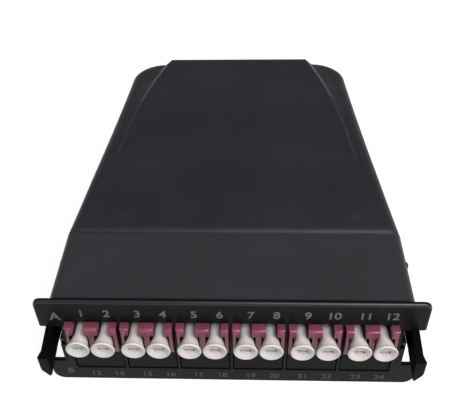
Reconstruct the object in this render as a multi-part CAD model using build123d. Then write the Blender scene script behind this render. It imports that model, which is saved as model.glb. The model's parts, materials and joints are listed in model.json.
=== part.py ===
from build123d import *
import os

# Fibre cassette: twelve capped duplex-adapter ports in front, a ribbon adapter behind.
# Sizes are in millimetres. X runs across the ports, Y back from the bezel face, Z up from the base.

# Port grid
port_spacing = 6.25
adapter_pitch = 13.8
adapter_count = 6
ports_per_adapter = 2
port_below_centre = 0.25

# Bezel plate with an ear above and below each side notch
bezel_height = 32.0
bezel_thickness = 1.2
bezel_top_round = 0.8
bezel_bottom_round = 0.25
ear_overhang = 3.5
ear_top_round = 2.0
ear_bottom_round = 3.0
notch_bottom = 7.9
notch_top = 22.6
notch_depth = 4.2
land_depth = 0.7
land_inset = 1.2
rim_depth = 3.0
rim_thickness = 1.2
rim_end_inset = 6.4

# Duplex adapter
adapter_width = 12.9
adapter_height = 9.2
adapter_length = 24.0
adapter_proud = 2.3
adapter_round = 0.5
cutout_clearance = 0.1
stop_ledge_width = 0.35
stop_ledge_length = 1.5
stop_ledge_margin = 2.0
port_size = 4.8
partition_thickness = 1.6
latch_slot_width = 2.9
latch_slot_length = 5.6
holder_radius = 1.25
holder_reach = 4.2

# Alignment sleeve, one in each port
sleeve_radius = 0.8
sleeve_bore_radius = 0.625
sleeve_length = 6.8
sleeve_slit = 0.2

# Sheet clip that straddles each adapter behind the bezel
clip_thickness = 0.25
clip_front = 6.0
clip_length = 6.0
clip_leg_height = 6.4
clip_tab_width = 3.0
clip_tab_rise = 0.8
clip_tab_root = 1.0

# Blanking plug in each opening of the lower row
row_drop = 10.1
rows_below_middle = 1.2
plug_clearance = 0.15
plug_recess = 0.2
plug_face_thickness = 1.2
plug_depth = 8.0
plug_wall = 1.0
plug_nib_height = 0.35
plug_nib_length = 1.2
plug_nib_width = 4.0
plug_corner_round = 0.4
plug_face_round = 0.25

# Trumpet-shaped dust cap
cap_flange_radius = 2.95
cap_flange_thickness = 0.6
cap_flange_bevel = 0.18
cap_reach = 5.1
cap_stem_radius = 1.7
cap_flare_length = 4.6
cap_flare_hollow = 0.25
cap_bore_clearance = 0.1
cap_end_gap = 0.4
cap_dish_depth = 0.6
cap_dish_radius = 1.2
cap_slot_length = 2.2
cap_slot_width = 0.7
cap_slot_depth = 0.6

# Housing, parallel in front and tapering behind
side_room = 3.0
bezel_lip = 0.5
housing_rear = 116.3
taper_start = 24.6
taper_middle = 61.0
taper_middle_inset = 3.4
taper_end_inset = 6.8
rear_corner_radius = 10.0
top_edge_round = 2.4
base_edge_round = 0.8
wall = 1.6
parting_height = 20.0
seam_y = 24.3
seam_width = 0.35
seam_depth = 0.4

# Shoulder beside the raised top: distance ahead of the rear wall, inset of the crease, drop below the top
shoulder_stations = [(86.3, 5.8, -0.3), (39.3, 9.8, 0.9), (17.3, 13.2, 1.7), (-4.0, 19.8, 2.3)]
crease_slope_width = 0.4
shoulder_fall = 0.3
shoulder_fall_share = 0.75
shoulder_reach = 6.0
shoulder_lift = 0.02

# Gate mark on the top cover, a shallow dimple with a nub
gate_y = 70.6
gate_radius = 2.6
gate_depth = 0.2
gate_nub_radius = 0.6
gate_nub_drop = 0.08

# Latch lever on each side, with its pin
lever_bottom = 15.4
lever_top = 22.4
lever_inset = 0.1
lever_thickness = 1.8
lever_travel = 1.9
lever_reach = 8.4
lever_droop = 1.7
lever_tip_round = 0.35
lever_slot_clearance = 0.4
pad_bulge = 0.6
pad_length = 2.2
pad_corner_height = 2.8
pad_corner_width = 1.9
catch_front = 3.6
catch_length = 5.6
catch_height = 1.3
catch_top_length = 1.2
catch_lead = 0.8
root_width = 4.0
pivot_y = 19.5
barrel_radius = 1.7
pin_radius = 0.8
pin_clearance = 0.06
channel_wall = 1.0
channel_bottom = 15.0
channel_top = 23.4
channel_end = 22.4
ledge_thickness = 1.5
lug_margin = 0.2
barrel_end_gap = 0.15

# Ribbon adapter and its cap in the rear wall
ribbon_below_parting = 6.4
ribbon_width = 12.4
ribbon_body_height = 9.6
ribbon_inside = 12.0
ribbon_outside = 6.5
ribbon_flange_margin = 1.6
ribbon_flange_thickness = 1.2
ribbon_port_width = 10.0
ribbon_port_height = 6.8
ribbon_key_width = 3.0
ribbon_key_height = 0.9
ribbon_web = 2.0
ferrule_width = 7.0
ferrule_height = 2.9
ribbon_cap_plug = 7.0
ribbon_cap_head = 4.0
ribbon_cap_clearance = 0.15
ribbon_corner_round = 0.6
ribbon_flange_round = 0.8
grip_count = 3
grip_start = 1.0
grip_pitch = 1.0
grip_width = 0.4
grip_depth = 0.3

# Screws that close the housing from below
front_screw_inset = 12.4
front_screw_y = 34.0
rear_screw_inset = 15.4
rear_screw_y = 98.0
screw_radius = 1.1
screw_head_radius = 2.2
screw_head_height = 1.4
screw_head_recess = 0.5
screw_length = 24.0
screw_drive_radius = 1.0
screw_drive_width = 0.5
screw_drive_depth = 0.8
screw_tip_room = 0.5
boss_radius = 3.2
screw_hole_clearance = 0.15

# Two open rings that hold the fibre to its bend radius
drum_places = [-17.0, 17.0]
drum_y = 66.0
drum_radius = 14.0
drum_wall = 1.4
drum_height = 15.0
drum_gap = 9.0
drum_tab_length = 4.0
drum_tab_thickness = 1.2

# How far a cutting block runs past what it cuts
cut_margin = 10.0

# Worked out from the sizes above
housing_front = bezel_thickness + land_depth
housing_top = bezel_height - bezel_lip
housing_half_width = adapter_count * adapter_pitch / 2 + side_room
bezel_half_width = housing_half_width + ear_overhang
lever_inner = housing_half_width - lever_inset
lever_outer = lever_inner + lever_thickness
channel_floor = lever_inner - lever_travel
pivot_x = lever_outer - barrel_radius
adapter_front = -adapter_proud
adapter_rear = adapter_front + adapter_length
adapter_middle = (adapter_front + adapter_rear) / 2
adapter_centre_height = bezel_height / 2 - rows_below_middle + row_drop / 2
port_height = adapter_centre_height - port_below_centre
cavity_half_width = housing_half_width - wall
cavity_top = housing_top - wall
adapter_places = [(i - (adapter_count - 1) / 2) * adapter_pitch for i in range(adapter_count)]
cutout_width = adapter_width + 2 * cutout_clearance
cutout_height = adapter_height + 2 * cutout_clearance
screw_places = [
    (housing_half_width - front_screw_inset, front_screw_y),
    (housing_half_width - rear_screw_inset, rear_screw_y),
]
ribbon_height = parting_height - ribbon_below_parting
ribbon_end = housing_rear + ribbon_outside
cap_end = ribbon_end + ribbon_cap_head
frame_shift = (lever_reach - cap_end) / 2


def block(x0, x1, y0, y1, z0, z1):
    """A box given by its two corners."""
    size = Box(x1 - x0, y1 - y0, z1 - z0)
    return Pos((x0 + x1) / 2, (y0 + y1) / 2, (z0 + z1) / 2) * size


def upright(points, y0, y1):
    """Extrude an X-Z outline from y0 back to y1."""
    face = make_face(Polyline(*points, close=True))
    plane = Plane(origin=(0, y0, 0), x_dir=(1, 0, 0), z_dir=(0, -1, 0))
    return extrude(plane * face, amount=-(y1 - y0))


def lying_rod(radius, y0, y1, x, z):
    """A round rod along Y."""
    rod = Cylinder(radius, y1 - y0, rotation=(90, 0, 0))
    return Pos(x, (y0 + y1) / 2, z) * rod


def standing_rod(radius, z0, z1, x, y):
    """A round rod along Z."""
    return Pos(x, y, (z0 + z1) / 2) * Cylinder(radius, z1 - z0)


def both_sides(shape):
    """The shape and its mirror image in the middle plane."""
    return shape + mirror(shape, about=Plane.YZ)


def housing_half_face():
    """Right half of the plan outline: parallel in front, then tapering along a shallow curve."""
    end_x = housing_half_width - taper_end_inset
    middle = (housing_half_width - taper_middle_inset, taper_middle)
    front = Polyline((0, housing_rear), (0, housing_front), (housing_half_width, housing_front),
                     (housing_half_width, taper_start))
    side = ThreePointArc((housing_half_width, taper_start), middle, (end_x, housing_rear))
    back = Line((end_x, housing_rear), (0, housing_rear))
    return make_face([front, side, back])


def shoulder_section(ahead, inset, drop):
    """The piece to remove beside the crease at one station along the housing."""
    top = housing_top + shoulder_lift
    crease_x = housing_half_width - inset
    outer = housing_half_width + shoulder_reach
    points = [
        (crease_x - crease_slope_width - drop, top),
        (crease_x, top - drop),
        (outer, top - drop - shoulder_fall - shoulder_fall_share * drop),
        (outer, top + shoulder_reach),
        (crease_x - crease_slope_width - drop, top + shoulder_reach),
    ]
    plane = Plane(origin=(0, housing_rear - ahead, 0), x_dir=(1, 0, 0), z_dir=(0, -1, 0))
    return plane * make_face(Polyline(*points, close=True))


def shoulder_cutter():
    """Lofted through the stations, so that the shoulder widens and deepens to the rear."""
    return loft([shoulder_section(*station) for station in shoulder_stations[::-1]])


def wall_edges(body, low, high):
    """Lying edges of the side and rear walls between two heights."""
    found = []
    for face in body.faces():
        middle = face.center()
        if abs(face.normal_at().Z) < 0.05 and middle.X > 1 and middle.Y > housing_front + 1:
            lying = [edge for edge in face.edges() if abs((edge % 0.5).Z) < 0.7]
            found += [edge for edge in lying if low < edge.center().Z < high]
    return found


def housing_block():
    """The closed outer form of the housing: half is cut and rounded, then mirrored."""
    half = extrude(housing_half_face(), amount=housing_top)
    end_x = housing_half_width - taper_end_inset
    corner = half.edges().filter_by(Axis.Z).sort_by_distance((end_x, housing_rear, housing_top / 2))[0]
    half = fillet(corner, rear_corner_radius)
    half -= shoulder_cutter()
    half = fillet(wall_edges(half, parting_height, housing_top + 1), top_edge_round)
    half = fillet(wall_edges(half, -1, 1), base_edge_round)
    return both_sides(half)


def cavity_block():
    """The hollow inside, open at the front, under a roof that follows the shoulders."""
    inner = offset(both_sides(housing_half_face()), amount=-wall, kind=Kind.INTERSECTION)
    hollow = Pos(0, 0, wall) * extrude(inner, amount=cavity_top - wall)
    inner_rear = housing_rear - wall
    corners = hollow.edges().filter_by(Axis.Z).filter_by_position(Axis.Y, inner_rear - 1, inner_rear + 1)
    hollow = fillet(corners, rear_corner_radius - wall)
    mouth = block(-cavity_half_width, cavity_half_width, 0, taper_start, wall, cavity_top)
    lowered = Pos(0, 0, -wall) * both_sides(shoulder_cutter())
    return hollow + mouth - lowered


def side_channel():
    """Blind walls around the lever, with a lug over and under its pin, on the right side."""
    inner = channel_floor - channel_wall
    low = channel_bottom - ledge_thickness
    high = channel_top + ledge_thickness
    solid = block(inner, housing_half_width, housing_front, seam_y, low, high)
    lug = standing_rod(barrel_radius + lug_margin, low, high, pivot_x, pivot_y)
    return solid + lug


def channel_cut():
    """What the lever and its pin take out of the housing, on the right side."""
    run = block(channel_floor, lever_outer + cut_margin, 0, channel_end, channel_bottom, channel_top)
    low = channel_bottom - ledge_thickness
    high = channel_top + ledge_thickness
    return run + standing_rod(pin_radius, low, high, pivot_x, pivot_y)


def seam_groove():
    """Shallow line over the top and down the sides where the cover meets the front of the tray."""
    y0 = seam_y - seam_width / 2
    y1 = seam_y + seam_width / 2
    half = housing_half_width - seam_depth
    core = block(-half, half, y0 - 1, y1 + 1, 0, housing_top - seam_depth)
    core = fillet(core.edges().filter_by(Axis.Y).sort_by(Axis.Z)[-2:], top_edge_round - seam_depth)
    out = housing_half_width + 1
    return block(-out, out, y0, y1, parting_height, housing_top + 1) - core


def cover_region():
    """Everything behind the seam and above the parting line."""
    out = housing_half_width + cut_margin
    return block(-out, out, seam_y, housing_rear + cut_margin, parting_height, housing_top + cut_margin)


def screw_axes():
    """Centres of the four closing screws."""
    return [(sign * x, y) for x, y in screw_places for sign in (-1, 1)]


def drum(x):
    """Slotted ring with a tab on each side of its rim, standing on the floor."""
    ring = standing_rod(drum_radius, wall, wall + drum_height, x, drum_y)
    ring -= standing_rod(drum_radius - drum_wall, 0, wall + drum_height + 1, x, drum_y)
    high = wall + drum_height
    half = drum_tab_length / 2
    out = drum_radius + drum_tab_length / 2
    tabs = block(x - out, x + out, drum_y - half, drum_y + half, high - drum_tab_thickness, high)
    tabs -= standing_rod(drum_radius - drum_wall, 0, high + 1, x, drum_y)
    gap = block(x - drum_gap / 2, x + drum_gap / 2, drum_y - drum_radius, drum_y + drum_radius,
                wall + drum_gap / 2, high + 1)
    return ring + tabs - gap


def housing_shell(outer):
    """The outer form made hollow, with the lever channels let into its sides."""
    shell = outer - seam_groove() - cavity_block()
    out = housing_half_width + cut_margin
    shell += both_sides(side_channel()) & block(-out, out, housing_front, seam_y, 0, housing_top)
    return shell - both_sides(channel_cut())


def base_tray(shell):
    """Floor, front surround, lower walls, drums and screw bosses."""
    tray = shell - cover_region()
    for x in drum_places:
        tray += drum(x)
    for x, y in screw_axes():
        tray += standing_rod(boss_radius, wall / 2, parting_height, x, y)
    for x, y in screw_axes():
        tray -= standing_rod(screw_radius + screw_hole_clearance, -1, parting_height + 1, x, y)
        head_room = screw_head_recess + screw_head_height
        tray -= standing_rod(screw_head_radius + screw_hole_clearance, -1, head_room, x, y)
    opening_x = ribbon_width / 2 + ribbon_cap_clearance
    opening_z = ribbon_body_height / 2 + ribbon_cap_clearance
    tray -= block(-opening_x, opening_x, housing_rear - wall - 1, housing_rear + 1,
                  ribbon_height - opening_z, ribbon_height + opening_z)
    return tray


def top_cover(shell, outer):
    """Raised top with falling shoulders, upper walls, screw bosses and the gate mark."""
    cover = shell & cover_region()
    for x, y in screw_axes():
        cover += standing_rod(boss_radius, parting_height, housing_top, x, y) & outer
    hole_end = screw_head_recess + screw_length + screw_tip_room
    for x, y in screw_axes():
        cover -= standing_rod(screw_radius, parting_height - 1, hole_end, x, y)
    dimple_radius = (gate_radius ** 2 + gate_depth ** 2) / (2 * gate_depth)
    cover -= Pos(0, gate_y, housing_top - gate_depth + dimple_radius) * Sphere(dimple_radius)
    return cover + standing_rod(gate_nub_radius, housing_top - wall, housing_top - gate_nub_drop, 0, gate_y)


def bezel_outline():
    """Right half of the front outline, from the bottom up."""
    half = bezel_half_width
    stile = half - notch_depth
    return [
        (0, 0), (half, 0), (half, notch_bottom), (stile, notch_bottom),
        (stile, notch_top), (half, notch_top), (half, bezel_height), (0, bezel_height),
    ]


def bezel():
    """Front plate with a land that seats on the housing, rims in its mouth and two rows of openings."""
    plate = upright(bezel_outline(), 0, bezel_thickness)
    for z, radius in ((0, ear_bottom_round), (bezel_height, ear_top_round)):
        corners = plate.edges().filter_by(Axis.Y)
        plate = fillet(corners.sort_by_distance((bezel_half_width, bezel_thickness / 2, z))[0], radius)
    plate = both_sides(plate)
    rim = plate.faces().sort_by(Axis.Y)[0].outer_wire().edges()
    plate = fillet([edge for edge in rim if edge.center().Z > notch_top + 0.1], bezel_top_round)
    rim = plate.faces().sort_by(Axis.Y)[0].outer_wire().edges()
    plate = fillet([edge for edge in rim if edge.center().Z < notch_bottom - 0.1], bezel_bottom_round)
    land_half = housing_half_width - land_inset
    plate += block(-land_half, land_half, bezel_thickness, housing_front,
                   land_inset, housing_top - land_inset)
    rim_half = housing_half_width - rim_end_inset
    rim_low = wall + cutout_clearance
    rim_high = cavity_top - cutout_clearance
    for z0, z1 in ((rim_low, rim_low + rim_thickness), (rim_high - rim_thickness, rim_high)):
        plate += block(-rim_half, rim_half, bezel_thickness, housing_front + rim_depth, z0, z1)
    for x in adapter_places:
        for z in (adapter_centre_height, adapter_centre_height - row_drop):
            plate -= block(x - cutout_width / 2, x + cutout_width / 2, -1, housing_front + rim_depth + 1,
                           z - cutout_height / 2, z + cutout_height / 2)
    pocket = block(channel_floor, bezel_half_width + 1, -1, housing_front + 1,
                   lever_bottom - lever_slot_clearance, notch_top)
    return plate - both_sides(pocket)


def duplex_adapter(x):
    """Two ports side by side, front and back, with latch slots in the roof and a sleeve holder in each."""
    half = adapter_width / 2
    low = adapter_centre_height - adapter_height / 2
    high = low + adapter_height
    body = block(-half, half, adapter_front, adapter_rear, low, high)
    rims = body.faces().sort_by(Axis.Y)[0].edges()
    body = fillet(rims, adapter_round)
    ledge = half + stop_ledge_width
    body += block(-ledge, ledge, housing_front, housing_front + stop_ledge_length,
                  low + stop_ledge_margin, high - stop_ledge_margin)
    room = port_size / 2
    holder_front = adapter_middle - holder_reach
    holder_rear = adapter_middle + holder_reach
    for side in (-1, 1):
        px = side * port_spacing / 2
        for y0, y1 in ((adapter_front - 1, adapter_middle - partition_thickness / 2),
                       (adapter_middle + partition_thickness / 2, adapter_rear + 1)):
            body -= block(px - room, px + room, y0, y1, port_height - room, port_height + room)
        slot = latch_slot_width / 2
        for y0, y1 in ((adapter_front - 1, adapter_front + latch_slot_length),
                       (adapter_rear - latch_slot_length, adapter_rear + 1)):
            body -= block(px - slot, px + slot, y0, y1, port_height, high + 1)
        body += lying_rod(holder_radius, holder_front, holder_rear, px, port_height)
        body -= lying_rod(sleeve_radius, holder_front, holder_rear, px, port_height)
    return Pos(x, 0, 0) * body


def sleeve_pair(x):
    """The two slit sleeves that line up the fibre ends."""
    y0 = adapter_middle - sleeve_length / 2
    y1 = y0 + sleeve_length
    pair = []
    for side in (-1, 1):
        px = x + side * port_spacing / 2
        tube = lying_rod(sleeve_radius, y0, y1, px, port_height)
        tube -= lying_rod(sleeve_bore_radius, y0 - 1, y1 + 1, px, port_height)
        slit = sleeve_slit / 2
        tube -= block(px - slit, px + slit, y0 - 1, y1 + 1, port_height, port_height + 2)
        pair.append(tube)
    return Compound(children=pair)


def spring_clip(x):
    """Bent sheet saddle with two tabs that bear on the back of the bezel."""
    half = adapter_width / 2
    high = adapter_centre_height + adapter_height / 2
    out = half + clip_thickness
    y1 = clip_front + clip_length
    saddle = block(-out, out, clip_front, y1, high - clip_leg_height, high + clip_thickness)
    saddle -= block(-half, half, clip_front - 1, y1 + 1, 0, high)
    top = high + clip_thickness
    lip = [
        (clip_front + clip_tab_root, high), (clip_front + clip_tab_root, top), (clip_front, top),
        (housing_front, top + clip_tab_rise), (housing_front, top + clip_tab_rise - clip_thickness),
        (clip_front, high),
    ]
    for side in (-1, 1):
        face = make_face(Polyline(*lip, close=True))
        tab = extrude(Plane.YZ * face, amount=clip_tab_width / 2, both=True)
        saddle += Pos(side * port_spacing / 2, 0, 0) * tab
    return Pos(x, 0, 0) * saddle


def blank_plug(x):
    """Hollow plug with a flush face and a snap nib on each side."""
    z = adapter_centre_height - row_drop
    half_x = cutout_width / 2 - plug_clearance
    half_z = cutout_height / 2 - plug_clearance
    plug = block(-half_x, half_x, plug_recess, plug_depth, z - half_z, z + half_z)
    plug = fillet(plug.edges().filter_by(Axis.Y), plug_corner_round)
    plug = fillet(plug.faces().sort_by(Axis.Y)[0].edges(), plug_face_round)
    plug -= block(-half_x + plug_wall, half_x - plug_wall, plug_recess + plug_face_thickness, plug_depth + 1,
                  z - half_z + plug_wall, z + half_z - plug_wall)
    for side in (-1, 1):
        edge = side * half_x
        nib = [
            (edge, housing_front), (edge + side * plug_nib_height, housing_front),
            (edge, housing_front + plug_nib_length),
        ]
        face = make_face(Polyline(*nib, close=True))
        plug += Pos(0, 0, z) * extrude(face, amount=plug_nib_width / 2, both=True)
    return Pos(x, 0, 0) * plug


def dust_cap(x):
    """Turned trumpet: a dished flange on a stem that slips over the sleeve holder."""
    front = -cap_reach
    inner_end = adapter_middle - partition_thickness / 2 - cap_end_gap
    bore_radius = holder_radius + cap_bore_clearance
    bore_end = adapter_middle - holder_reach - cap_end_gap
    rim = cap_flange_radius
    bevel = cap_flange_bevel
    dish = front + cap_dish_depth
    flare_start = front + cap_flange_thickness
    flare_end = flare_start + cap_flare_length
    flare_middle = (rim + cap_stem_radius) / 2 - cap_flare_hollow
    outer = [
        Polyline((rim - bevel, flare_start), (rim, flare_start - bevel), (rim, front + bevel),
                 (rim - bevel, front), (cap_dish_radius, dish), (0, dish), (0, bore_end),
                 (bore_radius, bore_end), (bore_radius, inner_end), (cap_stem_radius, inner_end),
                 (cap_stem_radius, flare_end)),
        ThreePointArc((cap_stem_radius, flare_end), (flare_middle, (flare_start + flare_end) / 2),
                      (rim - bevel, flare_start)),
    ]
    cap = revolve(make_face(outer), axis=Axis.Y)
    slot_x = cap_slot_length / 2
    slot_z = cap_slot_width / 2
    cap -= block(-slot_x, slot_x, front - 1, dish + cap_slot_depth, -slot_z, slot_z)
    return Pos(x, 0, port_height) * cap


def latch_lever():
    """Right-hand lever: drooping finger pad in front, hooked catch behind the bezel, barrel round the pin."""
    pad = lever_outer + pad_bulge
    catch = lever_outer + catch_height
    tip = -lever_reach
    bevel = min(lever_tip_round, lever_thickness / 5)
    plan = [
        (lever_inner, pivot_y - root_width), (lever_inner, tip + bevel), (lever_inner + bevel, tip),
        (pad - bevel, tip), (pad, tip + bevel), (lever_outer, tip + pad_length), (lever_outer, catch_front),
        (catch, catch_front + catch_lead), (catch, catch_front + catch_lead + catch_top_length),
        (lever_outer, catch_front + catch_length), (lever_outer, pivot_y), (pivot_x - barrel_radius, pivot_y),
    ]
    outline = extrude(make_face(Polyline(*plan, close=True)), amount=bezel_height)
    section = [
        (lever_inner, lever_bottom), (pad - pad_corner_width, lever_bottom),
        (pad, lever_bottom + pad_corner_height), (pad, lever_top), (lever_inner, lever_top),
    ]
    face = Plane.XZ * make_face(Polyline(*section, close=True))
    pad_piece = extrude(face, amount=lever_reach + lever_droop, dir=(0, -lever_reach, -lever_droop))
    arm = block(pivot_x - barrel_radius - 1, catch + 1, 0, pivot_y, lever_bottom, lever_top) & outline
    arm += pad_piece & outline
    low = channel_bottom + barrel_end_gap
    high = channel_top - barrel_end_gap
    arm += standing_rod(barrel_radius, low, high, pivot_x, pivot_y)
    arm -= standing_rod(pin_radius + pin_clearance, low - 1, high + 1, pivot_x, pivot_y)
    return arm


def pivot_pin():
    """Right-hand pin, pressed in the lugs over and under the lever."""
    low = channel_bottom - ledge_thickness
    high = channel_top + ledge_thickness
    return standing_rod(pin_radius, low, high, pivot_x, pivot_y)


def ribbon_adapter():
    """Ribbon-connector adapter that snaps in the rear wall, with a keyed port on each side of its web."""
    half_x = ribbon_width / 2
    half_z = ribbon_body_height / 2
    inside = housing_rear - ribbon_inside
    body = block(-half_x, half_x, inside, ribbon_end, -half_z, half_z)
    body = fillet(body.edges().filter_by(Axis.Y), ribbon_corner_round)
    ear_x = half_x + ribbon_flange_margin
    ear_z = half_z + ribbon_flange_margin / 2
    flange = block(-ear_x, ear_x, housing_rear, housing_rear + ribbon_flange_thickness, -ear_z, ear_z)
    body += fillet(flange.edges().filter_by(Axis.Y), ribbon_flange_round)
    web = (inside + ribbon_end) / 2
    port_x = ribbon_port_width / 2
    port_z = ribbon_port_height / 2
    for y0, y1 in ((inside - 1, web - ribbon_web / 2), (web + ribbon_web / 2, ribbon_end + 1)):
        body -= block(-port_x, port_x, y0, y1, -port_z, port_z)
        body -= block(-ribbon_key_width / 2, ribbon_key_width / 2, y0, y1, 0, port_z + ribbon_key_height)
    slot_x = ferrule_width / 2
    slot_z = ferrule_height / 2
    body -= block(-slot_x, slot_x, inside, ribbon_end, -slot_z, slot_z)
    return Pos(0, 0, ribbon_height) * body


def ribbon_cap():
    """Plug-in cap with a ribbed head over the rear port."""
    port_x = ribbon_port_width / 2 - ribbon_cap_clearance
    port_z = ribbon_port_height / 2 - ribbon_cap_clearance
    plug = block(-port_x, port_x, ribbon_end - ribbon_cap_plug, ribbon_end, -port_z, port_z)
    half_x = ribbon_width / 2
    half_z = ribbon_body_height / 2
    head = block(-half_x, half_x, ribbon_end, cap_end, -half_z, half_z)
    head = fillet(head.edges().filter_by(Axis.Y), ribbon_flange_round)
    core = block(grip_depth - half_x, half_x - grip_depth, ribbon_end, cap_end, -half_z, half_z)
    for i in range(grip_count):
        y = ribbon_end + grip_start + i * grip_pitch
        head -= block(-half_x, half_x, y, y + grip_width, -half_z, half_z) - core
    return Pos(0, 0, ribbon_height) * (plug + head)


def cover_screws():
    """Four countersunk-in-place pan screws with a cross drive."""
    screws = []
    for x, y in screw_axes():
        low = screw_head_recess
        screw = standing_rod(screw_head_radius, low, low + screw_head_height, x, y)
        screw += standing_rod(screw_radius, low, low + screw_length, x, y)
        reach = screw_drive_radius
        blade = screw_drive_width / 2
        screw -= block(x - reach, x + reach, y - blade, y + blade, 0, low + screw_drive_depth)
        screw -= block(x - blade, x + blade, y - reach, y + reach, 0, low + screw_drive_depth)
        screws.append(screw)
    return Compound(children=screws)


def save(name, shape):
    """Move the piece to the middle of the cassette's footprint and write it."""
    export_step(Pos(0, frame_shift, 0) * shape, f"parts/{name}.step")


os.makedirs("parts", exist_ok=True)
outer = housing_block()
shell = housing_shell(outer)
save("base_tray", base_tray(shell))
save("top_cover", top_cover(shell, outer))
save("bezel", bezel())
for i, x in enumerate(adapter_places, start=1):
    save(f"adapter_{i}", duplex_adapter(x))
    save(f"alignment_sleeves_{i}", sleeve_pair(x))
    save(f"spring_clip_{i}", spring_clip(x))
    save(f"blank_plug_{i}", blank_plug(x))
    for side in range(ports_per_adapter):
        port = ports_per_adapter * (i - 1) + side + 1
        save(f"dust_cap_{port}", dust_cap(x + (side - 0.5) * port_spacing))
save("latch_lever_right", latch_lever())
save("latch_lever_left", mirror(latch_lever(), about=Plane.YZ))
save("pivot_pin_right", pivot_pin())
save("pivot_pin_left", mirror(pivot_pin(), about=Plane.YZ))
save("ribbon_adapter", ribbon_adapter())
save("ribbon_cap", ribbon_cap())
save("cover_screws", cover_screws())
print(f"frame shift {frame_shift:.2f}, length {lever_reach + cap_end:.2f}")
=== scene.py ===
import bpy
import bmesh
import json
import math
from mathutils import Matrix, Vector

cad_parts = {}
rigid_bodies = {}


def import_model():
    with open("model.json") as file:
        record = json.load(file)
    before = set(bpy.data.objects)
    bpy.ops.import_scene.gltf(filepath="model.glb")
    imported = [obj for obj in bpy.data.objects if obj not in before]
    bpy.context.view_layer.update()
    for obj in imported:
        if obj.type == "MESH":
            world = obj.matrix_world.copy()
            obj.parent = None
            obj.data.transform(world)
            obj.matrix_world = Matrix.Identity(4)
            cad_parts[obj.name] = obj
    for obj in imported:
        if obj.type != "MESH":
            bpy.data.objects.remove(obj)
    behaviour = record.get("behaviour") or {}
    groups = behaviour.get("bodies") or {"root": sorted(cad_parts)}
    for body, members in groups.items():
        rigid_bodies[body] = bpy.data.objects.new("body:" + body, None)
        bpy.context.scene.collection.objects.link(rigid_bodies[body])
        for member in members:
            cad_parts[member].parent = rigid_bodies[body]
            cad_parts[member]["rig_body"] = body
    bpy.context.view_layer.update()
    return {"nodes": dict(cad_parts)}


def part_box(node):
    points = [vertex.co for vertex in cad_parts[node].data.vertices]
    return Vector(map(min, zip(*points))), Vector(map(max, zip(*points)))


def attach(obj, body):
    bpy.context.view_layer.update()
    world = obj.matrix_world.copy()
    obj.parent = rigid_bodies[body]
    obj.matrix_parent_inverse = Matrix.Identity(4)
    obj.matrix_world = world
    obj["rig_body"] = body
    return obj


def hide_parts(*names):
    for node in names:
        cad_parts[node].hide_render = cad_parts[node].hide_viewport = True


# The look of a black moulded fibre cassette with violet adapters and white trumpet caps.
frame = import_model()
mm = 0.001


# Small helpers
def linearFrom(hexText, alpha=1.0):
    parts = [int(hexText[i:i + 2], 16) / 255 for i in (0, 2, 4)]
    linear = [p / 12.92 if p <= 0.04045 else ((p + 0.055) / 1.055) ** 2.4 for p in parts]
    return (*linear, alpha)


def addNode(tree, kind, values=None, links=None, **settings):
    node = tree.nodes.new(kind)
    for key, value in settings.items():
        setattr(node, key, value)
    for key, value in (values or {}).items():
        node.inputs[key].default_value = value
    for key, source in (links or {}).items():
        tree.links.new(source, node.inputs[key])
    return node


def calculate(tree, operation, *terms):
    numbers = {place: term for place, term in enumerate(terms) if isinstance(term, (int, float))}
    sockets = {place: term for place, term in enumerate(terms) if place not in numbers}
    return addNode(tree, "ShaderNodeMath", numbers, sockets, operation=operation).outputs[0]


def perMetre(sizeInMm):
    return 1000 / sizeInMm  # a texture scale whose features are about this size


def newMaterial(name):
    material = bpy.data.materials.new(name)
    material.use_nodes = True
    tree = material.node_tree
    tree.nodes.clear()
    output = addNode(tree, "ShaderNodeOutputMaterial")
    shader = addNode(tree, "ShaderNodeBsdfPrincipled")
    tree.links.new(shader.outputs["BSDF"], output.inputs["Surface"])
    coords = addNode(tree, "ShaderNodeTexCoord").outputs["Object"]
    return material, tree, shader, coords


# Moulded plastic: a spark-eroded grain breaks up the sheen, and slow flow marks vary the tone a little
moulding = {"flowNoise": {"Detail": 3.0, "Roughness": 0.5}, "grainNoise": {"Detail": 2.0, "Roughness": 0.6},
            "darkFrom": 0.3, "lightFrom": 0.7, "shadingSamples": 8}


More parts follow.
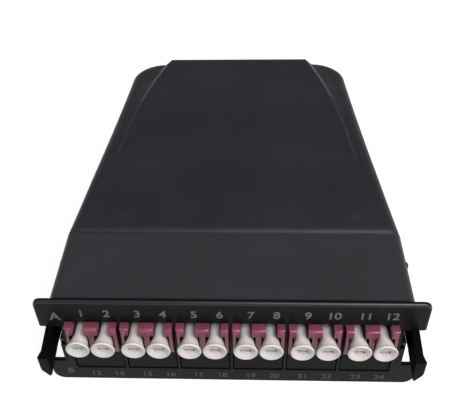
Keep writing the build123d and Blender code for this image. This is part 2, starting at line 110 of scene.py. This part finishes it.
def mouldedPlastic(name, look):
    material, tree, shader, coords = newMaterial(name)
    flow = addNode(tree, "ShaderNodeTexNoise", {"Scale": perMetre(look["flowMm"]), **moulding["flowNoise"]},
                   {"Vector": coords})
    ramp = addNode(tree, "ShaderNodeValToRGB", None, {"Fac": flow.outputs["Fac"]})
    for stop, (place, tone) in enumerate(((moulding["darkFrom"], "dark"), (moulding["lightFrom"], "light"))):
        ramp.color_ramp.elements[stop].position = place
        ramp.color_ramp.elements[stop].color = linearFrom(look[tone])
    tree.links.new(ramp.outputs["Color"], shader.inputs["Base Color"])
    gloss = addNode(tree, "ShaderNodeMapRange",
                    {"From Min": moulding["darkFrom"], "From Max": moulding["lightFrom"],
                     "To Min": look["roughness"] - look["roughnessSpread"],
                     "To Max": look["roughness"] + look["roughnessSpread"]},
                    {"Value": flow.outputs["Fac"]})
    tree.links.new(gloss.outputs["Result"], shader.inputs["Roughness"])
    grain = addNode(tree, "ShaderNodeTexNoise",
                    {"Scale": perMetre(look["grainMm"]), **moulding["grainNoise"]}, {"Vector": coords})
    bump = addNode(tree, "ShaderNodeBump",
                   {"Strength": look["grainStrength"], "Distance": look["grainDepthMm"] * mm},
                   {"Height": grain.outputs["Fac"]})
    if "softEdgeMm" in look:
        # reflections run softly round the edges of the thick walls
        soft = addNode(tree, "ShaderNodeBevel", {"Radius": look["softEdgeMm"] * mm},
                       samples=moulding["shadingSamples"])
        tree.links.new(soft.outputs["Normal"], bump.inputs["Normal"])
    tree.links.new(bump.outputs["Normal"], shader.inputs["Normal"])
    if "recess" in look:
        # deep corners take less light than the render's few bounces give them
        shade = addNode(tree, "ShaderNodeAmbientOcclusion", {"Distance": look["recessMm"] * mm},
                        samples=moulding["shadingSamples"])
        darker = addNode(tree, "ShaderNodeMix", {"A": linearFrom(look["recess"])},
                         {"Factor": shade.outputs["AO"], "B": ramp.outputs["Color"]}, data_type="RGBA")
        tree.links.new(darker.outputs["Result"], shader.inputs["Base Color"])
    shader.inputs["IOR"].default_value = look["ior"]
    if "glow" in look:
        shader.inputs["Subsurface Weight"].default_value = look["glow"]
        shader.inputs["Subsurface Radius"].default_value = look["glowRadiusMm"]
        shader.inputs["Subsurface Scale"].default_value = mm
    return material


# Black flame-retardant ABS, satin from its mould texture, with the grain drawn coarse enough to show
housingAbs = mouldedPlastic("satinBlackAbs", {
    "dark": "1E1A21", "light": "242027", "flowMm": 26, "roughness": 0.5, "roughnessSpread": 0.03,
    "grainMm": 0.45, "grainStrength": 0.25, "grainDepthMm": 0.03, "ior": 1.5, "softEdgeMm": 4.0})
# The front strip and the bezel are of the same ABS, rubbed differently; the front strip's lighter base
# colour is painted light and the bezel's darker one painted shade
trayAbs = mouldedPlastic("satinBlackAbsFront", {
    "dark": "272529", "light": "2D2B30", "flowMm": 26, "roughness": 0.5, "roughnessSpread": 0.03,
    "grainMm": 0.45, "grainStrength": 0.25, "grainDepthMm": 0.03, "ior": 1.5})
# painted shade: the bezel's face gets a darker base colour than the housing
bezelAbs = mouldedPlastic("satinBlackAbsBezel", {
    "dark": "0D0C0E", "light": "111012", "flowMm": 18, "roughness": 0.4, "roughnessSpread": 0.03,
    "grainMm": 0.4, "grainStrength": 0.2, "grainDepthMm": 0.03, "ior": 1.2})
# The rounded top edge of the bezel is smoother and glossier, and its lighter base colour is a painted
# highlight along it
bezelRim = mouldedPlastic("rimHighlightBlackAbs", {
    "dark": "1A191B", "light": "201F21", "flowMm": 18, "roughness": 0.36, "roughnessSpread": 0.03,
    "grainMm": 0.4, "grainStrength": 0.1, "grainDepthMm": 0.02, "ior": 1.5})
# The slope between the raised top and its shoulders gets a lighter base colour, a painted highlight
creaseAbs = mouldedPlastic("creaseHighlightBlackAbs", {
    "dark": "2C292F", "light": "333036", "flowMm": 26, "roughness": 0.46, "roughnessSpread": 0.03,
    "grainMm": 0.45, "grainStrength": 0.15, "grainDepthMm": 0.02, "ior": 1.5})
# Levers and plugs come from a smoother mould, deeper black; their base colours are darkened further as
# painted shade, for the shade they sit in
leverAcetal = mouldedPlastic("blackAcetal", {
    "dark": "070607", "light": "0A090A", "flowMm": 8, "roughness": 0.42, "roughnessSpread": 0.04,
    "grainMm": 0.3, "grainStrength": 0.12, "grainDepthMm": 0.02, "ior": 1.15})
plugAbs = mouldedPlastic("blackPlugAbs", {
    "dark": "0A090B", "light": "0E0D0F", "flowMm": 9, "roughness": 0.4, "roughnessSpread": 0.04,
    "grainMm": 0.35, "grainStrength": 0.15, "grainDepthMm": 0.02, "ior": 1.17})
# Heather-violet polyester resin, semi-gloss, with a faint glow in its thin walls
adapterPbt = mouldedPlastic("heatherVioletPbt", {
    "dark": "8A3F57", "light": "9E5068", "flowMm": 5, "roughness": 0.28, "roughnessSpread": 0.05,
    "grainMm": 0.3, "grainStrength": 0.1, "grainDepthMm": 0.02, "ior": 1.57,
    "glow": 0.1, "glowRadiusMm": (1.2, 0.5, 0.6), "recess": "2E141E", "recessMm": 3.5})
# Soft white polyethylene, milky and slightly waxy
capPolyethylene = mouldedPlastic("milkyPolyethylene", {
    "dark": "E9E1DF", "light": "F1EAE8", "flowMm": 3, "roughness": 0.45, "roughnessSpread": 0.05,
    "grainMm": 0.35, "grainStrength": 0.08, "grainDepthMm": 0.02, "ior": 1.51,
    "glow": 0.12, "glowRadiusMm": (0.8, 0.6, 0.6), "recess": "8E8886", "recessMm": 1.4})
# Matt elastomer of the rear cap
rubberBlack = mouldedPlastic("softBlackElastomer", {
    "dark": "131313", "light": "1A1A1A", "flowMm": 6, "roughness": 0.62, "roughnessSpread": 0.05,
    "grainMm": 0.3, "grainStrength": 0.2, "grainDepthMm": 0.03, "ior": 1.5})
# Pad-printed ink, a little rougher than the plastic under it
inkGrey = mouldedPlastic("padPrintedGreyInk", {
    "dark": "6E6D6E", "light": "7A797A", "flowMm": 1.5, "roughness": 0.6, "roughnessSpread": 0.05,
    "grainMm": 0.2, "grainStrength": 0.1, "grainDepthMm": 0.01, "ior": 1.5})
# The lower row's ink is darker
inkFaint = mouldedPlastic("darkerGreyInk", {
    "dark": "3C3B3D", "light": "4A494B", "flowMm": 1.2, "roughness": 0.6, "roughnessSpread": 0.05,
    "grainMm": 0.2, "grainStrength": 0.1, "grainDepthMm": 0.01, "ior": 1.5})
# Polished ceramic of the alignment sleeves
zirconia = mouldedPlastic("polishedZirconia", {
    "dark": "EDE8DF", "light": "F4F0E8", "flowMm": 2, "roughness": 0.15, "roughnessSpread": 0.03,
    "grainMm": 0.3, "grainStrength": 0.02, "grainDepthMm": 0.01, "ior": 2.1})


# Rolled sheet and drawn wire: streaks along the rolling direction break the reflection
rolling = {"detail": 4.0, "roughnessSpread": 0.08, "bumpStrength": 0.1, "streakDepthMm": 0.01}


def drawnSteel(name, look):
    material, tree, shader, coords = newMaterial(name)
    stretch = addNode(tree, "ShaderNodeMapping", {"Scale": look["stretch"]}, {"Vector": coords})
    streaks = addNode(tree, "ShaderNodeTexNoise",
                      {"Scale": perMetre(look["streakMm"]), "Detail": rolling["detail"]},
                      {"Vector": stretch.outputs["Vector"]})
    gloss = addNode(tree, "ShaderNodeMapRange",
                    {"To Min": look["roughness"] - rolling["roughnessSpread"],
                     "To Max": look["roughness"] + rolling["roughnessSpread"]},
                    {"Value": streaks.outputs["Fac"]})
    tree.links.new(gloss.outputs["Result"], shader.inputs["Roughness"])
    bump = addNode(tree, "ShaderNodeBump",
                   {"Strength": rolling["bumpStrength"], "Distance": rolling["streakDepthMm"] * mm},
                   {"Height": streaks.outputs["Fac"]})
    tree.links.new(bump.outputs["Normal"], shader.inputs["Normal"])
    shader.inputs["Base Color"].default_value = linearFrom(look["colour"])
    shader.inputs["Metallic"].default_value = 1.0
    return material


springSteel = drawnSteel("rolledSpringSteel", {
    "colour": "B9B8B4", "roughness": 0.3, "streakMm": 0.2, "stretch": (1, 0.05, 1)})
screwZinc = drawnSteel("blackZincScrew", {
    "colour": "4A4A4E", "roughness": 0.38, "streakMm": 0.3, "stretch": (1, 1, 0.2)})
print("materials made")


# A finished copy of a CAD piece: same form, welded, with the small radii of its mould on the sharp edges
finish = {"weldMm": 0.0005, "flatDegrees": 0.3, "sharpDegrees": 38, "edgeSegments": 2, "flatsWeight": 100}


def dressNode(node, material, edgeMm, reshape=None):
    source = frame["nodes"][node].data
    places = [v.co.copy() for v in source.vertices]
    if reshape:
        reshape(places)
    mesh = bpy.data.meshes.new(node + "Skin")
    mesh.from_pydata(places, [], [list(p.vertices) for p in source.polygons])
    form = bmesh.new()
    form.from_mesh(mesh)
    bmesh.ops.remove_doubles(form, verts=form.verts, dist=finish["weldMm"] * mm)
    bmesh.ops.dissolve_limit(form, angle_limit=math.radians(finish["flatDegrees"]),
                             verts=form.verts, edges=form.edges)
    bmesh.ops.triangulate(form, faces=form.faces, quad_method="BEAUTY", ngon_method="BEAUTY")
    form.to_mesh(mesh)
    form.free()
    raw = bpy.data.objects.new(node + "Raw", mesh)
    bpy.context.scene.collection.objects.link(raw)
    for polygon in mesh.polygons:
        polygon.use_smooth = True
    bevel = raw.modifiers.new("edge", "BEVEL")
    bevel.width = edgeMm * mm
    bevel.segments = finish["edgeSegments"]
    bevel.limit_method = "ANGLE"
    bevel.angle_limit = math.radians(finish["sharpDegrees"])
    bevel.face_strength_mode = "FSTR_ALL"
    bevel.use_clamp_overlap = True
    bevel.loop_slide = False
    flats = raw.modifiers.new("flats", "WEIGHTED_NORMAL")
    flats.mode = "FACE_AREA"
    flats.weight = finish["flatsWeight"]
    flats.use_face_influence = True
    finished = bpy.data.meshes.new_from_object(raw.evaluated_get(bpy.context.evaluated_depsgraph_get()))
    bpy.data.objects.remove(raw)
    piece = bpy.data.objects.new(node + "Skin", finished)
    bpy.context.scene.collection.objects.link(piece)
    finished.materials.clear()
    finished.materials.append(material)
    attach(piece, frame["nodes"][node]["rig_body"])
    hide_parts(node)
    return piece


# Each piece's plastic, and the width in mm of its rounded edges
skins = {
    "top_cover": (housingAbs, 0.15), "base_tray": (trayAbs, 0.15), "bezel": (bezelAbs, 0.12),
    "latch_lever_left": (leverAcetal, 0.25), "latch_lever_right": (leverAcetal, 0.25),
    "ribbon_adapter": (plugAbs, 0.12), "ribbon_cap": (rubberBlack, 0.25),
}
adapterCount = 6
portsEach = 2
for number in range(1, adapterCount + 1):
    skins[f"adapter_{number}"] = (adapterPbt, 0.3)
    skins[f"blank_plug_{number}"] = (plugAbs, 0.08)
for number in range(1, adapterCount * portsEach + 1):
    skins[f"dust_cap_{number}"] = (capPolyethylene, 0.06)
# The faces of the bezel's rounded top edge lean forward; they get the painted highlight
rim = {"fromHeightMm": 30, "forwardLeast": 0.2, "upLeast": 0.2, "upMost": 0.98}
# The crease lies well inside the side walls, which close in by taperMm between frontMm and rearMm
crease = {"halfWidthMm": 41.0, "taperMm": 6.8, "frontMm": -34.6, "rearMm": 57.1,
          "fromHeightMm": 26, "upLeast": 0.5, "sidewaysLeast": 0.3}


def onBezelRim(polygon):
    leans = polygon.normal.y < -rim["forwardLeast"] and rim["upLeast"] < polygon.normal.z < rim["upMost"]
    return leans and polygon.center.z > rim["fromHeightMm"] * mm


def onCrease(polygon):
    back = (polygon.center.y / mm - crease["frontMm"]) / (crease["rearMm"] - crease["frontMm"])
    inside = abs(polygon.center.x) / mm < crease["halfWidthMm"] - crease["taperMm"] * back
    slopes = polygon.normal.z > crease["upLeast"] and abs(polygon.normal.x) > crease["sidewaysLeast"]
    return inside and slopes and polygon.center.z > crease["fromHeightMm"] * mm


# The dimple in a cap's face is an oval pinch, broader than the plain slot of its solid
dimple = {"fromDepthMm": 0.55, "toDepthMm": 1.4, "ringMm": 1.25, "slotHalfWidthMm": 1.11,
          "slotHalfHeightMm": 0.36, "slotWiden": 1.18, "slotHeighten": 1.7, "ringWiden": 1.3}


def pinchDimple(places):
    middleX, middleZ = (
        (min(place[axis] for place in places) + max(place[axis] for place in places)) / 2 for axis in (0, 2))
    front = min(place.y for place in places)
    for place in places:
        across = place.x - middleX
        up = place.z - middleZ
        depthMm = (place.y - front) / mm
        nearAxis = math.hypot(across, up) / mm <= dimple["ringMm"]
        if not (nearAxis and dimple["fromDepthMm"] < depthMm < dimple["toDepthMm"]):
            continue
        if abs(across) / mm < dimple["slotHalfWidthMm"] and abs(up) / mm < dimple["slotHalfHeightMm"]:
            place.x = middleX + across * dimple["slotWiden"]
            place.z = middleZ + up * dimple["slotHeighten"]
        else:
            place.x = middleX + across * dimple["ringWiden"]


# The accents paint highlights as lighter base colours: on the bezel's rounded top edge and on the crease
# slope
accents = {"bezel": (bezelRim, onBezelRim), "top_cover": (creaseAbs, onCrease)}
for node, (material, edgeMm) in skins.items():
    skin = dressNode(node, material, edgeMm, pinchDimple if node.startswith("dust_cap") else None)
    if node in accents:
        accent, belongs = accents[node]
        skin.data.materials.append(accent)
        chosen = [polygon for polygon in skin.data.polygons if belongs(polygon)]
        for polygon in chosen:
            polygon.material_index = 1
        print(node, "accent faces", len(chosen))
print("skins made", len(skins))

# Small metal and ceramic parts keep the CAD's own mesh
plain = {"cover_screws": screwZinc, "pivot_pin_left": springSteel, "pivot_pin_right": springSteel}
for number in range(1, adapterCount + 1):
    plain[f"alignment_sleeves_{number}"] = zirconia
    plain[f"spring_clip_{number}"] = springSteel
for node, material in plain.items():
    mesh = frame["nodes"][node].data
    mesh.materials.clear()
    mesh.materials.append(material)


# Port numbers: one Geometry Nodes tree sets a row of numerals out on the port grid
numberRows = {
    "upperNumbers": {"first": 1, "heightMm": 2.45, "belowTopMm": 4.4, "ink": inkGrey},
    "lowerNumbers": {"first": 13, "heightMm": 1.9, "belowTopMm": 29.64, "ink": inkFaint},
}
numberGrid = {"pitchMm": 13.8, "portMm": 6.25, "shiftMm": 1.19, "inkMm": 0.02, "spreadMm": 0.09,
              "capHeightShare": 0.7, "brushSides": 6, "brushFlatness": 0.1}


def numberTree(ink):
    tree = bpy.data.node_groups.new("portNumberRow", "GeometryNodeTree")
    tree.interface.new_socket("Geometry", in_out="OUTPUT", socket_type="NodeSocketGeometry")
    tree.interface.new_socket("First", in_out="INPUT", socket_type="NodeSocketInt")
    for name in ("Size", "Pitch", "Port", "Shift", "Depth", "Spread"):
        tree.interface.new_socket(name, in_out="INPUT", socket_type="NodeSocketFloat")
    given = addNode(tree, "NodeGroupInput").outputs
    loopEnd = tree.nodes.new("GeometryNodeRepeatOutput")
    loopStart = tree.nodes.new("GeometryNodeRepeatInput")
    loopStart.pair_with_output(loopEnd)
    loopStart.inputs["Iterations"].default_value = adapterCount * portsEach
    index = loopStart.outputs["Iteration"]
    number = calculate(tree, "ADD", index, given["First"])
    asText = addNode(tree, "FunctionNodeValueToString", None, {"Value": number})
    letters = addNode(tree, "GeometryNodeStringToCurves", None,
                      {"String": asText.outputs["String"], "Size": given["Size"]},
                      align_x="CENTER", align_y="MIDDLE")
    outline = addNode(tree, "GeometryNodeRealizeInstances", None,
                      {"Geometry": letters.outputs["Curve Instances"]})
    filled = addNode(tree, "GeometryNodeFillCurve", None, {"Curve": outline.outputs["Geometry"]})
    raised = addNode(tree, "GeometryNodeExtrudeMesh", None,
                     {"Mesh": filled.outputs["Mesh"], "Offset Scale": given["Depth"]})
    # the printed strokes spread a little past the outline
    brush = addNode(tree, "GeometryNodeCurvePrimitiveCircle", {"Resolution": numberGrid["brushSides"]},
                    {"Radius": given["Spread"]})
    edged = addNode(tree, "GeometryNodeCurveToMesh", None,
                    {"Curve": outline.outputs["Geometry"], "Profile Curve": brush.outputs["Curve"]})
    flat = addNode(tree, "GeometryNodeTransform", {"Scale": (1, 1, numberGrid["brushFlatness"])},
                   {"Geometry": edged.outputs["Mesh"]})
    stroke = addNode(tree, "GeometryNodeJoinGeometry")
    tree.links.new(raised.outputs["Mesh"], stroke.inputs["Geometry"])
    tree.links.new(flat.outputs["Geometry"], stroke.inputs["Geometry"])
    # the numeral's place is its adapter's, then its port's within the adapter
    adapter = calculate(tree, "FLOOR", calculate(tree, "DIVIDE", index, portsEach))
    fromMiddle = calculate(tree, "SUBTRACT", adapter, (adapterCount - 1) / 2)
    side = calculate(tree, "SUBTRACT", calculate(tree, "MODULO", index, portsEach), (portsEach - 1) / 2)
    along = calculate(tree, "MULTIPLY", fromMiddle, given["Pitch"])
    across = calculate(tree, "MULTIPLY", side, given["Port"])
    shifted = calculate(tree, "ADD", calculate(tree, "ADD", along, across), given["Shift"])
    place = addNode(tree, "ShaderNodeCombineXYZ", None, {"X": shifted})
    moved = addNode(tree, "GeometryNodeTransform", None,
                    {"Geometry": stroke.outputs["Geometry"], "Translation": place.outputs["Vector"]})
    joined = addNode(tree, "GeometryNodeJoinGeometry")
    tree.links.new(moved.outputs["Geometry"], joined.inputs["Geometry"])
    tree.links.new(loopStart.outputs["Geometry"], joined.inputs["Geometry"])
    tree.links.new(joined.outputs["Geometry"], loopEnd.inputs["Geometry"])
    real = addNode(tree, "GeometryNodeRealizeInstances", None, {"Geometry": loopEnd.outputs["Geometry"]})
    inked = addNode(tree, "GeometryNodeSetMaterial", {"Material": ink},
                    {"Geometry": real.outputs["Geometry"]})
    output = addNode(tree, "NodeGroupOutput")
    tree.links.new(inked.outputs["Geometry"], output.inputs["Geometry"])
    return tree


def setInput(modifier, name, value):
    sockets = modifier.node_group.interface.items_tree
    item = next(socket for socket in sockets if socket.name == name and socket.in_out == "INPUT")
    modifier[item.identifier] = value


bezelLow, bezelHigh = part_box("bezel")
faceY = bezelLow.y


def bakeOnFace(source, name, centre):
    # stands the flat lettering up on the bezel's face
    settled = source.evaluated_get(bpy.context.evaluated_depsgraph_get())
    mesh = bpy.data.meshes.new_from_object(settled)
    bpy.data.objects.remove(source)
    mesh.transform(Matrix.Translation(centre) @ Matrix.Rotation(math.radians(90), 4, "X"))
    piece = bpy.data.objects.new(name, mesh)
    bpy.context.scene.collection.objects.link(piece)
    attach(piece, "housing")
    return piece


for name, row in numberRows.items():
    carrier = bpy.data.objects.new(name + "Raw", bpy.data.meshes.new(name))
    bpy.context.scene.collection.objects.link(carrier)
    modifier = carrier.modifiers.new("numbers", "NODES")
    modifier.node_group = numberTree(row["ink"])
    setInput(modifier, "First", row["first"])
    setInput(modifier, "Size", row["heightMm"] / numberGrid["capHeightShare"] * mm)
    for label in ("pitch", "port", "shift", "spread"):
        setInput(modifier, label.capitalize(), numberGrid[label + "Mm"] * mm)
    setInput(modifier, "Depth", numberGrid["inkMm"] * mm)
    bpy.context.view_layer.update()
    bakeOnFace(carrier, name, Vector((0, faceY, bezelHigh.z - row["belowTopMm"] * mm)))
print("numbers set")

# Row letters at the left end of each row
rowLetters = {
    "upperRowLetter": {"text": "A", "heightMm": 2.7, "xMm": -43.1, "belowTopMm": 5.6, "ink": inkGrey},
    "lowerRowLetter": {"text": "B", "heightMm": 2.1, "xMm": -43.1, "belowTopMm": 28.4, "ink": inkFaint},
}
for name, letter in rowLetters.items():
    curve = bpy.data.curves.new(name, "FONT")
    curve.body = letter["text"]
    curve.size = letter["heightMm"] / numberGrid["capHeightShare"] * mm
    curve.align_x = "CENTER"
    curve.align_y = "CENTER"
    curve.extrude = numberGrid["inkMm"] / 2 * mm
    curve.offset = numberGrid["spreadMm"] * mm
    carrier = bpy.data.objects.new(name + "Raw", curve)
    bpy.context.scene.collection.objects.link(carrier)
    bpy.context.view_layer.update()
    centre = Vector((letter["xMm"] * mm, faceY, bezelHigh.z - letter["belowTopMm"] * mm))
    piece = bakeOnFace(carrier, name, centre)
    piece.data.materials.clear()
    piece.data.materials.append(letter["ink"])
print("letters set")

# The photograph's camera, placed from the middle of the bezel's top front edge
camera = {"focalPx": 664.7, "pitch": 41.76, "yaw": -3.19, "roll": 1.92, "rightMm": 5.2, "frontMm": 100.9,
          "aboveMm": 123.2, "imageWidthPx": 449, "sensorMm": 36, "clipStartMm": 5}


def placeCamera():
    pitch, yaw, roll = (math.radians(camera[turn]) for turn in ("pitch", "yaw", "roll"))
    forward = Vector((math.sin(yaw) * math.cos(pitch), math.cos(yaw) * math.cos(pitch), -math.sin(pitch)))
    level = forward.cross(Vector((0, 0, 1))).normalized()
    down = forward.cross(level)
    right = level * math.cos(roll) + down * math.sin(roll)
    lower = -level * math.sin(roll) + down * math.cos(roll)
    data = bpy.data.cameras.new("photoCamera")
    data.sensor_width = camera["sensorMm"]
    data.lens = camera["focalPx"] / camera["imageWidthPx"] * camera["sensorMm"]
    data.clip_start = camera["clipStartMm"] * mm
    holder = bpy.data.objects.new("photoCamera", data)
    bpy.context.scene.collection.objects.link(holder)
    turn = Matrix((right, -lower, -forward)).transposed().to_4x4()
    place = Vector((camera["rightMm"] * mm, faceY - camera["frontMm"] * mm,
                    bezelHigh.z + camera["aboveMm"] * mm))
    holder.matrix_world = Matrix.Translation(place) @ turn
    bpy.context.scene.camera = holder


placeCamera()

# Two soft panels, placed in metres: the key in front and above, the fill at its right
panels = {
    "keyPanel": {"place": (0.32, -0.42, 0.74), "aim": (0, 0, 0.02), "size": (0.6, 0.4), "power": 6.6},
    "fillPanel": {"place": (0.5, -0.5, 0.35), "aim": (0, -0.03, 0.02), "size": (0.5, 0.4), "power": 0.8},
}


def softLight(name, panel):
    data = bpy.data.lights.new(name, "AREA")
    data.shape = "RECTANGLE"
    data.size, data.size_y = panel["size"]
    data.energy = panel["power"]
    holder = bpy.data.objects.new(name, data)
    bpy.context.scene.collection.objects.link(holder)
    place = Vector(panel["place"])
    turn = (Vector(panel["aim"]) - place).to_track_quat("-Z", "Y")
    holder.matrix_world = Matrix.Translation(place) @ turn.to_matrix().to_4x4()


for name, panel in panels.items():
    softLight(name, panel)

white = (1, 1, 1, 1)
room = {"horizonStrength": 0.06, "zenithStrength": 0.36, "tint": "F4F4F6", "backdropTop": 0.05}
world = bpy.data.worlds.new("studioWorld")
bpy.context.scene.world = world
world.use_nodes = True
tree = world.node_tree
tree.nodes.clear()
paths = addNode(tree, "ShaderNodeLightPath")
seen = addNode(tree, "ShaderNodeBackground", {"Color": white, "Strength": 1.0})
# the room is brighter overhead than at the horizon, so the edges that turn away go dark
towards = addNode(tree, "ShaderNodeTexCoord").outputs["Generated"]
upward = addNode(tree, "ShaderNodeSeparateXYZ", None, {"Vector": towards}).outputs["Z"]
level = addNode(tree, "ShaderNodeMapRange",
                {"To Min": room["horizonStrength"], "To Max": room["zenithStrength"]}, {"Value": upward})
lit = addNode(tree, "ShaderNodeBackground", {"Color": linearFrom(room["tint"])},
              {"Strength": level.outputs["Result"]})
# the white backdrop shows to the camera and through glass, and as high as it stands in reflections too
backdrop = calculate(tree, "LESS_THAN", upward, room["backdropTop"])
mirrored = calculate(tree, "MULTIPLY", paths.outputs["Is Glossy Ray"], backdrop)
direct = calculate(tree, "MAXIMUM", paths.outputs["Is Camera Ray"], paths.outputs["Is Transmission Ray"])
mixed = addNode(tree, "ShaderNodeMixShader", None,
                {"Fac": calculate(tree, "MAXIMUM", direct, mirrored),
                 1: lit.outputs["Background"], 2: seen.outputs["Background"]})
addNode(tree, "ShaderNodeOutputWorld", None, {"Surface": mixed.outputs["Shader"]})

# The floor lies just clear of the flat underside
ground = {"colour": "8E8E8F", "lift": 0.86, "halfSide": 3, "dropMm": 0.05}
floorMesh = bpy.data.meshes.new("floor")
corners = [(x * ground["halfSide"], y * ground["halfSide"], -ground["dropMm"] * mm)
           for x, y in ((-1, -1), (1, -1), (1, 1), (-1, 1))]
floorMesh.from_pydata(corners, [], [(0, 1, 2, 3)])
floor = bpy.data.objects.new("floor", floorMesh)
bpy.context.scene.collection.objects.link(floor)
floorPaint = bpy.data.materials.new("paleFloor")
floorPaint.use_nodes = True
tree = floorPaint.node_tree
tree.nodes.clear()
# the floor shows white to the camera, in reflections and through glass, and keeps the object's shadow
paths = addNode(tree, "ShaderNodeLightPath")
direct = calculate(tree, "MAXIMUM", paths.outputs["Is Camera Ray"], paths.outputs["Is Glossy Ray"])
shown = calculate(tree, "MAXIMUM", direct, paths.outputs["Is Transmission Ray"])
paint = addNode(tree, "ShaderNodeBsdfDiffuse", {"Color": linearFrom(ground["colour"])})
lifted = addNode(tree, "ShaderNodeEmission", {"Color": white},
                 {"Strength": calculate(tree, "MULTIPLY", shown, ground["lift"])})
summed = addNode(tree, "ShaderNodeAddShader", None,
                 {0: paint.outputs["BSDF"], 1: lifted.outputs["Emission"]})
addNode(tree, "ShaderNodeOutputMaterial", None, {"Surface": summed.outputs["Shader"]})
floorMesh.materials.append(floorPaint)

bpy.context.scene.view_settings.view_transform = "Standard"
print("studio set")
